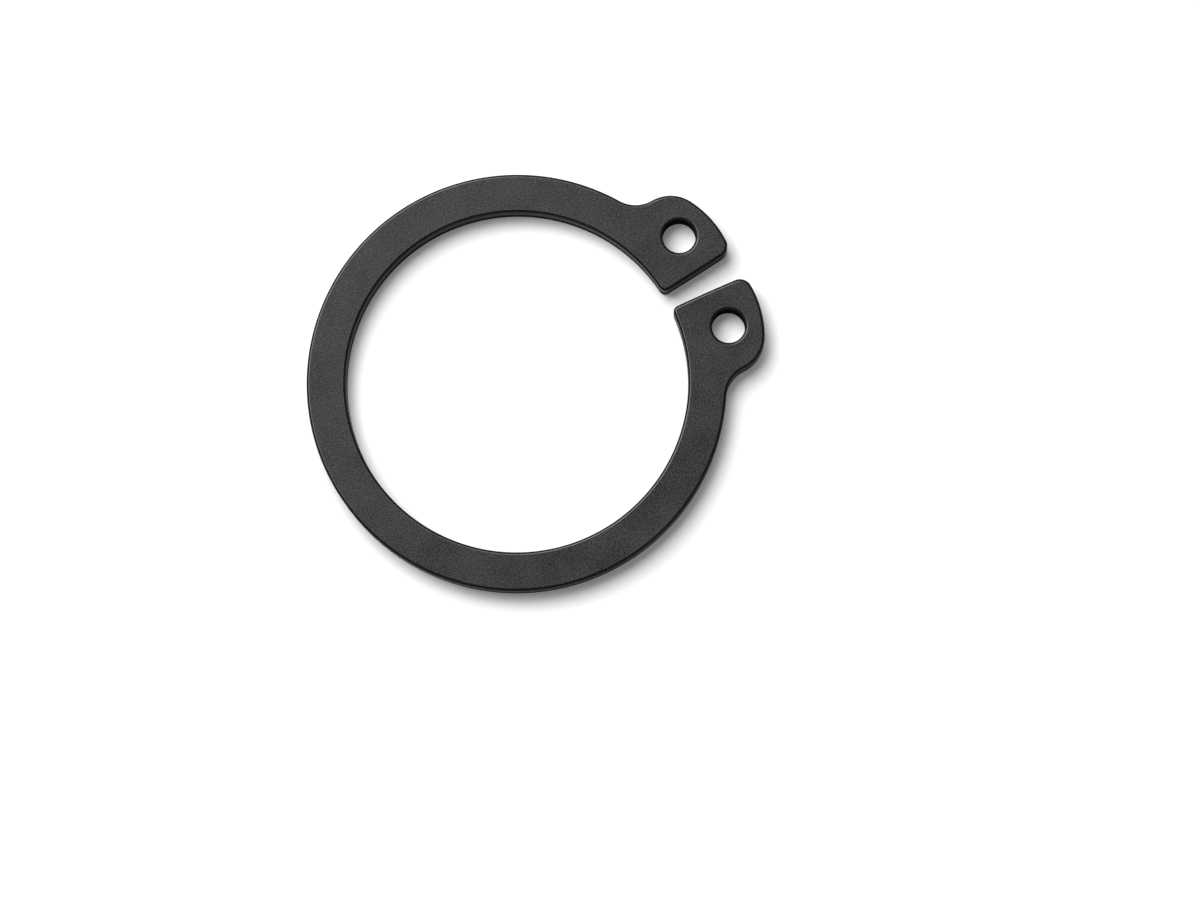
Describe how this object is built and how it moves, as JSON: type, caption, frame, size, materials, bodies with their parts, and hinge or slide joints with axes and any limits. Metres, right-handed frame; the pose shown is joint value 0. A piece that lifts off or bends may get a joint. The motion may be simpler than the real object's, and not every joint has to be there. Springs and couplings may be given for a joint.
{
  "type": "circlip retaining ring",
  "caption": "Flat external retaining ring for a shaft groove: an open spring-steel band ending in lugs with plier holes.",
  "frame": {"origin": "centre of the bore on the ring's under face, where it rests", "axes": "+Z along the bore axis through the thickness, +X from the bore axis through the middle of the gap, +Y towards one lug"},
  "size_m": [0.0277, 0.0252, 0.0018],
  "materials": {
    "blackened_steel": "matt black phosphated spring steel, tumbled edges"
  },
  "bodies": {
    "root": {"retaining_ring": "blackened_steel"}
  },
  "joints": []
}
